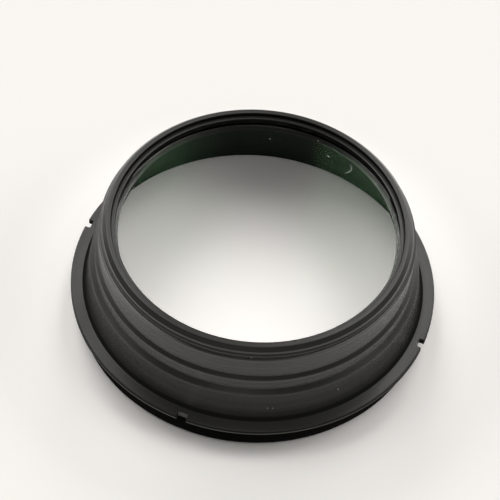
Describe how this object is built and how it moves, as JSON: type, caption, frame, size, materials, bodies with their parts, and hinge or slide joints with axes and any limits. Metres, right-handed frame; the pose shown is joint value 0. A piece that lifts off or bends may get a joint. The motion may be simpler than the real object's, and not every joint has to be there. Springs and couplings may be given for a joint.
{
  "type": "optical lens mount",
  "caption": "Turned black ring with a stepped, flared outside, a notched flange over a threaded skirt, and a round lens held under its rim.",
  "frame": {"origin": "on the optical axis, in the end face of the threaded skirt that the mount stands on", "axes": "+Z along the optical axis, out of the narrow rim; the four flange notches lie at 45 degrees to X and Y"},
  "size_m": [0.065, 0.065, 0.0227],
  "materials": {
    "black_anodised": "satin black anodised, finely turned",
    "coated_glass": "polished, with a faint green anti-reflection coating"
  },
  "bodies": {
    "root": {"mount_body": "black_anodised", "lens": "coated_glass", "retaining_ring": "black_anodised"}
  },
  "joints": []
}
